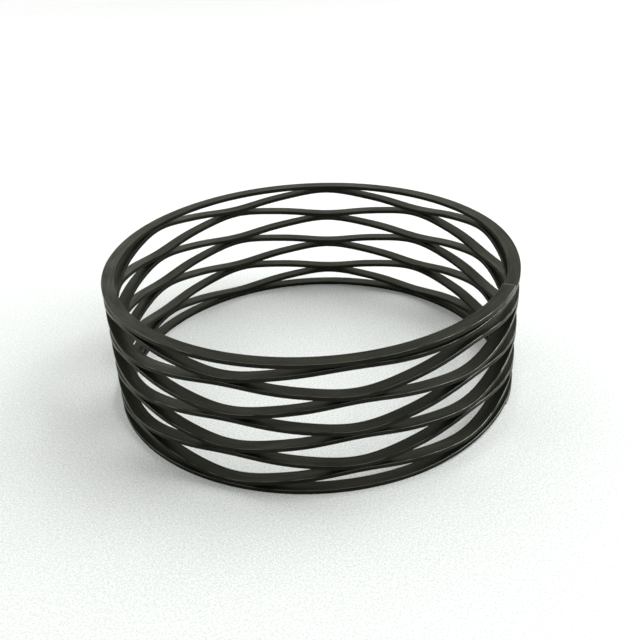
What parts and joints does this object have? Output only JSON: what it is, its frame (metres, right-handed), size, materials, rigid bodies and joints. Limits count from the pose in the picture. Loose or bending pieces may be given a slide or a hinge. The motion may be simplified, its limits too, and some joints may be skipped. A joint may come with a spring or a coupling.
{
  "type": "wave spring",
  "caption": "Round wave spring of dark flat wire wound on edge, waved turns stacked crest to crest between flat end turns, for axial spring load in a short height.",
  "frame": {"origin": "centre of the coil on the underside of its bottom flat turn", "axes": "+Z along the coil's axis, towards the top flat turn; +X where the top flat turn begins to slip under its free end"},
  "size_m": [0.1, 0.1, 0.0322],
  "materials": {
    "spring_steel": "satin, dark oxide"
  },
  "bodies": {
    "root": {"wave_spring": "spring_steel"}
  },
  "joints": []
}
